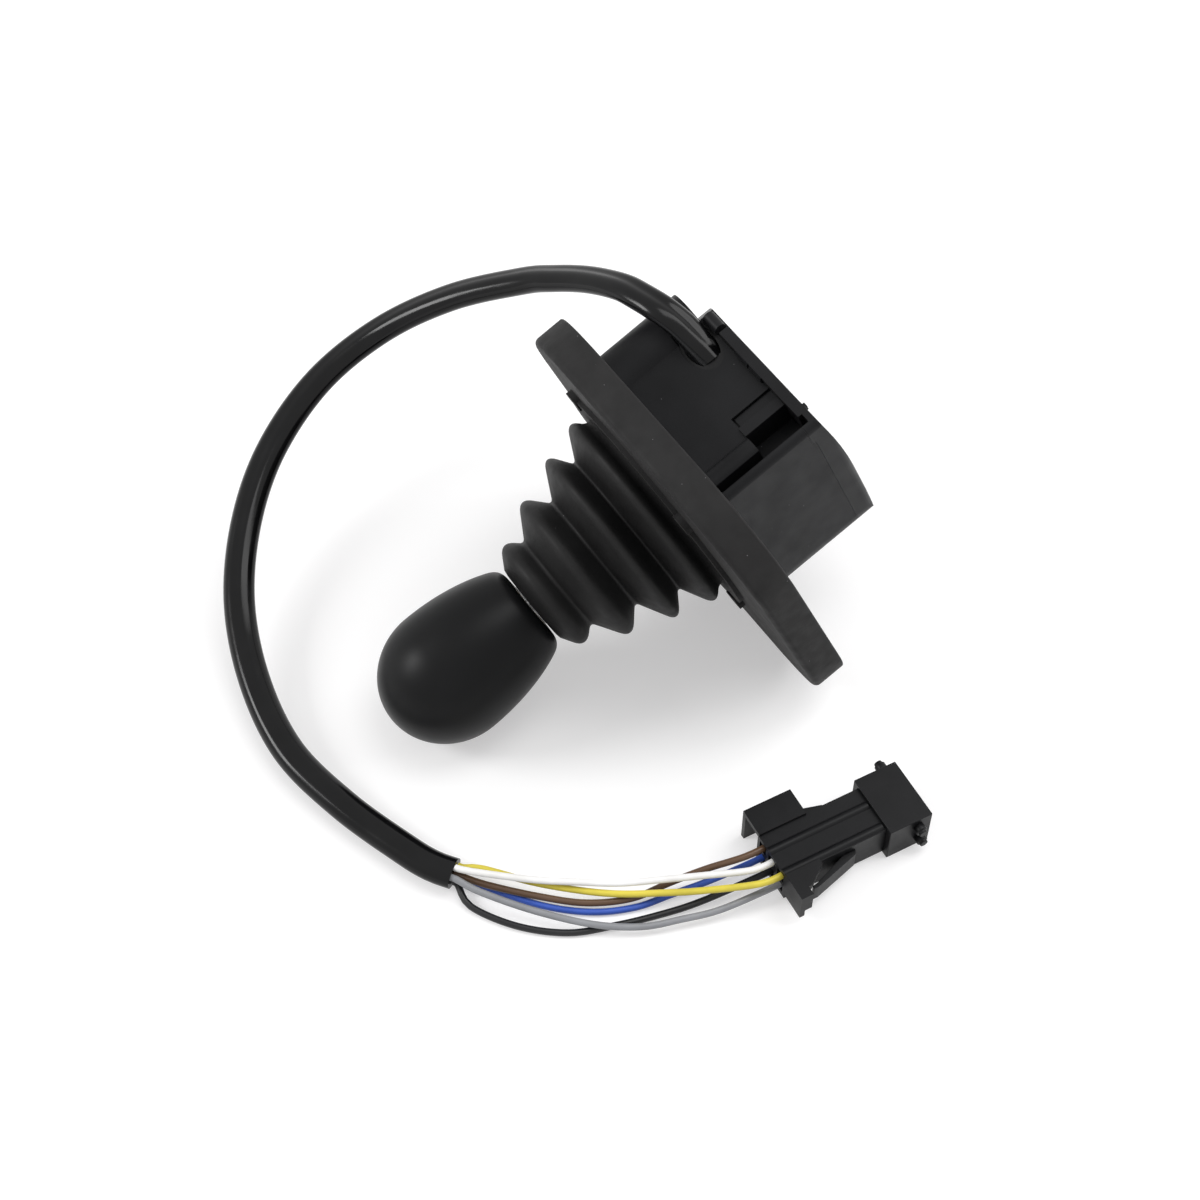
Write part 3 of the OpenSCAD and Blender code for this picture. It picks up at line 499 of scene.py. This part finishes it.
for above, below in zip(rim, rim[1:]):
    bpy.ops.mesh.extrude_region_move(TRANSFORM_OT_translate={"value": (0, 0, below.y - above.y)})
    shrink = below.x / above.x
    bpy.ops.transform.resize(value=(shrink, shrink, 1), center_override=(0, 0, below.y))
bpy.ops.mesh.edge_face_add()
bpy.ops.mesh.select_all(action="SELECT")
bpy.ops.mesh.normals_make_consistent(inside=False)
bpy.ops.object.mode_set(mode="OBJECT")
bpy.ops.object.shade_smooth_by_angle(angle=math.radians(40))
knob.data.transform(laid)
soft_touch, nodes, links, shader = plain_material(
    "soft-touch knob", (0.0045, 0.0046, 0.005), 0.4, 0, 0.14)
links.new(ramp_of(nodes, links, noise_on(nodes, links, 60, 4),
                  ((0.35, (0.004, 0.0041, 0.0045)), (0.7, (0.0058, 0.0059, 0.0063)))),
          shader.inputs["Base Color"])
links.new(ramp_of(nodes, links, noise_on(nodes, links, 110, 4), ((0.3, 0.36), (0.7, 0.43))),
          shader.inputs["Roughness"])
grained(nodes, links, shader, 2400, 0.12, 0.00006)
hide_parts("knob")
dress(knob, soft_touch, "lever")

# ---- Knob insert
# A turned brass bush in the knob's foot, with two grooves round it for the plastic to grip.
# The lever's end fits in its bore.
coat("knob_insert", turned_steel("insert brass", (0.62, 0.42, 0.16), 0.28, 900))

# ---- Cable grommet
# A short rubber bush, set aslant in the housing, that the lead leaves by. It is cut level
# with the floor of the recess.
dress(made_from("cable_grommet", "lead_grommet", 0.00025, 3, 40),
      rubber_of("grommet rubber", (0.005, 0.005, 0.0053), (0.0075, 0.0075, 0.0078), 0.6, 0.03, 0.2),
      "base")

# ---- Sleeve
# The six wires run in a glossy black vinyl sleeve. It is soft, so it lies a little flattened
# with a shallow crease along it, flatter where it turns at the exit. It stops short of the plug.
sleeve_route = [
    (-0.036736, -0.014848, 0.079781), (-0.034730, -0.021546, 0.084614), (-0.0333, -0.0248, 0.0867),
    (-0.0313, -0.0292, 0.0884), (-0.0297, -0.0361, 0.0879), (-0.0285, -0.0433, 0.086),
    (-0.0258, -0.0539, 0.081), (-0.0218, -0.064, 0.0751), (-0.0168, -0.0732, 0.069),
    (-0.0034, -0.0881, 0.0576), (0.0134, -0.098, 0.046), (0.033, -0.1, 0.0355),
    (0.0526, -0.093, 0.0265), (0.0683, -0.0803, 0.019), (0.0811, -0.0624, 0.0125),
    (0.089, -0.0407, 0.008), (0.0918, -0.0179, 0.0054), (0.0879, 0.0038, 0.0043),
    (0.0813, 0.024, 0.0041), (0.078, 0.0318, 0.0041), (0.0746, 0.0368, 0.0041)]


def smooth_route(points, step):
    points = [Vector(p) for p in points]
    path = [points[0]]
    for i in range(len(points) - 1):
        a = points[max(i - 1, 0)]
        b, c = points[i], points[i + 1]
        d = points[min(i + 2, len(points) - 1)]
        n = max(2, round((c - b).length / step))
        for k in range(1, n + 1):
            t = k / n
            path.append(0.5 * (2 * b + (c - a) * t + (2 * a - 5 * b + 4 * c - d) * t * t
                               + (3 * b - a - 3 * c + d) * t ** 3))
    return path


def tube(name, path, section):
    rows = []
    for i, point in enumerate(path):
        heading = (path[min(i + 1, len(path) - 1)] - path[max(i - 1, 0)]).normalized()
        side = heading.cross(Vector((0, 0, 1))).normalized()
        rise = side.cross(heading)
        rows.append([point + side * u + rise * v for u, v in section(i / (len(path) - 1))])
    count = len(rows[0])
    verts = [p for row in rows for p in row]
    faces = [(i * count + k, i * count + (k + 1) % count, (i + 1) * count + (k + 1) % count,
              (i + 1) * count + k) for i in range(len(rows) - 1) for k in range(count)]
    faces.append(tuple(range(count))[::-1])
    faces.append(tuple((len(rows) - 1) * count + k for k in range(count)))
    mesh = bpy.data.meshes.new(name)
    mesh.from_pydata(verts, [], faces)
    piece = bpy.data.objects.new(name, mesh)
    bpy.context.scene.collection.objects.link(piece)
    only(piece)
    bpy.ops.object.mode_set(mode="EDIT")
    bpy.ops.mesh.select_all(action="SELECT")
    bpy.ops.mesh.normals_make_consistent(inside=False)
    bpy.ops.object.mode_set(mode="OBJECT")
    bpy.ops.object.shade_smooth_by_angle(angle=math.radians(50))
    return piece


grommet_share = 0.03
flat_share = 0.22
round_width = 0.0039
round_height = 0.0037
lying_wider, exit_wider = 0.0003, 0.0003
lying_flatter, exit_flatter = 0.0004, 0.0009
lying_crease, exit_crease = 0.0003, 0.0004
crease_place = 0.15
crease_width = 0.3


def sleeve_section(t, count=48):
    exit_part = max(0.0, 1 - t / flat_share)
    pinch = min(1.0, t / grommet_share)
    half_width = round_width + pinch * (lying_wider + exit_wider * exit_part)
    half_height = round_height - pinch * (lying_flatter + exit_flatter * exit_part)
    crease = pinch * (lying_crease + exit_crease * exit_part)
    points = []
    for k in range(count):
        turn = 2 * math.pi * k / count
        u, v = math.cos(turn), math.sin(turn)
        dent = crease * math.exp(-((u - crease_place) / crease_width) ** 2) if v > 0 else 0
        points.append((half_width * u, half_height * v - dent))
    return points


def soft_vinyl(name, colour, roughness, wave, specular=0.4):
    material, nodes, links, shader = plain_material(name, colour, roughness, 0, specular)
    pale = tuple(min(1, 1.25 * c + 0.002) for c in colour)
    links.new(ramp_of(nodes, links, noise_on(nodes, links, 120, 4),
                      ((0.35, colour), (0.75, pale))), shader.inputs["Base Color"])
    links.new(ramp_of(nodes, links, noise_on(nodes, links, 90, 5),
                      ((0.3, roughness - 0.05), (0.7, roughness + 0.08))),
              shader.inputs["Roughness"])
    grained(nodes, links, shader, wave, 0.12, 0.0002)
    return material


sleeve_step = 0.002
sleeve_path = smooth_route(sleeve_route, sleeve_step)
sleeve = tube("lead_sleeve", sleeve_path, sleeve_section)
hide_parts("sleeve")
sleeve_vinyl = soft_vinyl("sleeve vinyl", (0.0025, 0.0025, 0.0028), 0.15, 160, 0.22)
dress(sleeve, sleeve_vinyl, "base")

# ---- Plug
# The plug is moulded in black glass-filled nylon: the body with its two latch arms, the front
# block with its coding pegs, and the tin-plated terminals in their chambers.
plug_nylon = moulded("plug nylon", (0.0045, 0.0046, 0.0052), (0.007, 0.0071, 0.0079),
                     0.4, 2200, 0.2, 0.03)
for node, name, rounding in (
        ("connector_body", "plug_body", 0.0002), ("connector_front", "plug_front", 0.0002),
        ("latch_arms", "plug_latch_arms", 0.00015), ("coding_pegs", "plug_coding_pegs", 0.0002)):
    piece = made_from(node, name, rounding)
    dress(piece, plug_nylon, "base")
terminals = made_from("terminals", "plug_terminals", 0.00008, 2, 50)
dress(terminals, cast_alloy("terminal tin", (0.5, 0.5, 0.5), (0.62, 0.62, 0.61), 0.3, 2200),
      "base")

# ---- Wires
# Six thin wires leave the sleeve and run to the plug, each in its own soft vinyl. They are
# limp, and run side by side and across each other from the sleeve's cut end to the plug.
conn_at = Vector((0.0079, 0.0797, 0))
conn_turn = math.radians(174.5)
sleeve_end = Vector(sleeve_route[-1])
end_turn = math.radians(124.2)
wire_d = 0.0018
wire_step = 0.0015
mouth_gap = 0.00005
straight_out = 0.0015
cell_pitch = 0.0043
cell_rows = (0.0037, 0.0083)
cell_before = -0.005
cell_end = 0.00295


def mouth(u, v, out):
    heading = Vector((math.cos(end_turn), math.sin(end_turn), 0))
    side = Vector((math.sin(end_turn), -math.cos(end_turn), 0))
    return sleeve_end + heading * (mouth_gap + out) + side * u + Vector((0, 0, v))


def socket(column, row, x):
    c, s = math.cos(conn_turn), math.sin(conn_turn)
    y = column * cell_pitch
    return conn_at + Vector((x * c - y * s, x * s + y * c, cell_rows[row]))


wire_runs = {
    "white": ((-0.0006, 0.0022), (
        (0.0694, 0.042, 0.0069), (0.0595, 0.0506, 0.0066), (0.0503, 0.0575, 0.0066),
        (0.0423, 0.0633, 0.0068), (0.0333, 0.0683, 0.0072), (0.0243, 0.0733, 0.0078)), 0, 1),
    "yellow": ((-0.0023, 0.0003), (
        (0.068, 0.0396, 0.0043), (0.0596, 0.0496, 0.0041), (0.051, 0.0583, 0.0043),
        (0.0435, 0.0648, 0.0048), (0.0348, 0.0705, 0.0052), (0.026, 0.0763, 0.0064)), -1, 1),
    "brown": ((0, 0), (
        (0.0692, 0.0436, 0.0032), (0.0602, 0.0532, 0.0028), (0.0512, 0.0614, 0.0028),
        (0.041, 0.0666, 0.0028), (0.031, 0.0685, 0.0036), (0.022, 0.0713, 0.0059)), 1, 1),
    "blue": ((-0.0008, -0.0021), (
        (0.0678, 0.045, 0.001), (0.0596, 0.0558, 0.001), (0.0506, 0.0637, 0.001),
        (0.041, 0.0684, 0.001), (0.032, 0.0704, 0.0013), (0.023, 0.0728, 0.0024)), 1, 0),
    "grey": ((0.0019, 0.0012), (
        (0.072, 0.045, 0.0044), (0.0634, 0.0562, 0.0032), (0.0532, 0.0674, 0.003),
        (0.0435, 0.0746, 0.0029), (0.034, 0.0783, 0.0028), (0.025, 0.0814, 0.003)), -1, 0),
    "black": ((0.0017, -0.0014), (
        (0.0753, 0.0456, 0.0012), (0.0686, 0.0565, 0.001), (0.0589, 0.0652, 0.001),
        (0.048, 0.0699, 0.001), (0.0378, 0.0733, 0.001), (0.0277, 0.0763, 0.0019)), 0, 0)}
wire_tints = {
    "white": (0.83, 0.82, 0.8), "yellow": (0.62, 0.52, 0.06), "brown": (0.1, 0.055, 0.03),
    "blue": (0.04, 0.1, 0.46), "grey": (0.24, 0.245, 0.26), "black": (0.007, 0.007, 0.008)}


def wire_section(t, count=18):
    turns = [2 * math.pi * k / count for k in range(count)]
    return [(wire_d / 2 * math.cos(turn), wire_d / 2 * math.sin(turn)) for turn in turns]


for colour, (start, middle, column, row) in wire_runs.items():
    route = [mouth(*start, 0), mouth(*start, straight_out), *[Vector(p) for p in middle],
             socket(column, row, cell_before), socket(column, row, cell_end)]
    path = smooth_route(route, wire_step)
    wire = tube("lead_wire_" + colour, path, wire_section)
    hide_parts("wire_" + colour)
    dress(wire, soft_vinyl(colour + " wire vinyl", wire_tints[colour], 0.34, 700),
          "base")

# ---- Table, light and camera
# The joystick lies on white paper, under a long softbox and two small ones. The paper and
# the room look pale and mirror pale in gloss, but light the joystick less than they look.
bpy.ops.object.select_all(action="DESELECT")
bpy.ops.mesh.primitive_plane_add(size=6, location=(0, 0, 0))
table = bpy.context.object
table.name = "table"
paper, nodes, links, shader = plain_material("table paper", (0.64, 0.64, 0.64), 0.7)
shader.inputs["Specular IOR Level"].default_value = 0.15
shader.inputs["Emission Color"].default_value = (1, 0.99, 0.995, 1)
ray = nodes.new("ShaderNodeLightPath")
place = nodes.new("ShaderNodeTexCoord")
reach = nodes.new("ShaderNodeVectorMath")
reach.operation = "LENGTH"
links.new(place.outputs["Object"], reach.inputs[0])
lift = nodes.new("ShaderNodeMapRange")
lift.inputs["From Min"].default_value = 0.35
lift.inputs["From Max"].default_value = 1.1
lift.inputs["To Min"].default_value = 0.42
lift.inputs["To Max"].default_value = 0.85
links.new(reach.outputs["Value"], lift.inputs["Value"])
looked = nodes.new("ShaderNodeMath")
looked.operation = "MAXIMUM"
links.new(ray.outputs["Is Camera Ray"], looked.inputs[0])
links.new(ray.outputs["Is Glossy Ray"], looked.inputs[1])
seen = nodes.new("ShaderNodeMath")
seen.operation = "MULTIPLY"
links.new(looked.outputs["Value"], seen.inputs[0])
links.new(lift.outputs["Result"], seen.inputs[1])
links.new(seen.outputs["Value"], shader.inputs["Emission Strength"])
table.data.materials.append(paper)

scene = bpy.context.scene
scene.view_settings.view_transform = "Standard"
room = bpy.data.worlds.new("room")
scene.world = room
room.use_nodes = True
background = room.node_tree.nodes["Background"]
background.inputs["Color"].default_value = (1, 1, 1, 1)
sight = room.node_tree.nodes.new("ShaderNodeLightPath")
shown = sight.outputs["Is Camera Ray"]
for other in ("Is Glossy Ray", "Is Transmission Ray"):
    either = room.node_tree.nodes.new("ShaderNodeMath")
    either.operation = "MAXIMUM"
    room.node_tree.links.new(shown, either.inputs[0])
    room.node_tree.links.new(sight.outputs[other], either.inputs[1])
    shown = either.outputs["Value"]
level = room.node_tree.nodes.new("ShaderNodeMapRange")
level.inputs["To Min"].default_value = 0.55
level.inputs["To Max"].default_value = 1.0
room.node_tree.links.new(shown, level.inputs["Value"])
room.node_tree.links.new(level.outputs["Result"], background.inputs["Strength"])


def softbox(name, at, aim, size, watts):
    lamp = bpy.data.lights.new(name, "AREA")
    lamp.shape = "RECTANGLE"
    lamp.size, lamp.size_y = size
    lamp.energy = watts
    box = bpy.data.objects.new(name, lamp)
    box.location = at
    box.rotation_euler = (Vector(aim) - Vector(at)).to_track_quat("-Z", "Y").to_euler()
    scene.collection.objects.link(box)


softbox("overhead", (-0.5, 0.1, 1.1), (0, 0, 0.03), (0.5, 1.2), 6.5)
softbox("right", (-0.95, 0.55, 0.6), (0, 0, 0.04), (0.5, 0.5), 4)
softbox("left", (0.9, -0.5, 0.7), (0, 0, 0.04), (0.4, 0.4), 6.5)

camera = bpy.data.cameras.new("camera")
camera.lens = 69.6
camera.sensor_width = 36
eye = bpy.data.objects.new("camera", camera)
scene.collection.objects.link(eye)
eye.location = (0.20461, 0.29941, 0.51231)
aimed = Vector((0.00763, 0.0018, 0.03))
eye.rotation_euler = (aimed - eye.location).to_track_quat("-Z", "Y").to_euler()
scene.camera = eye
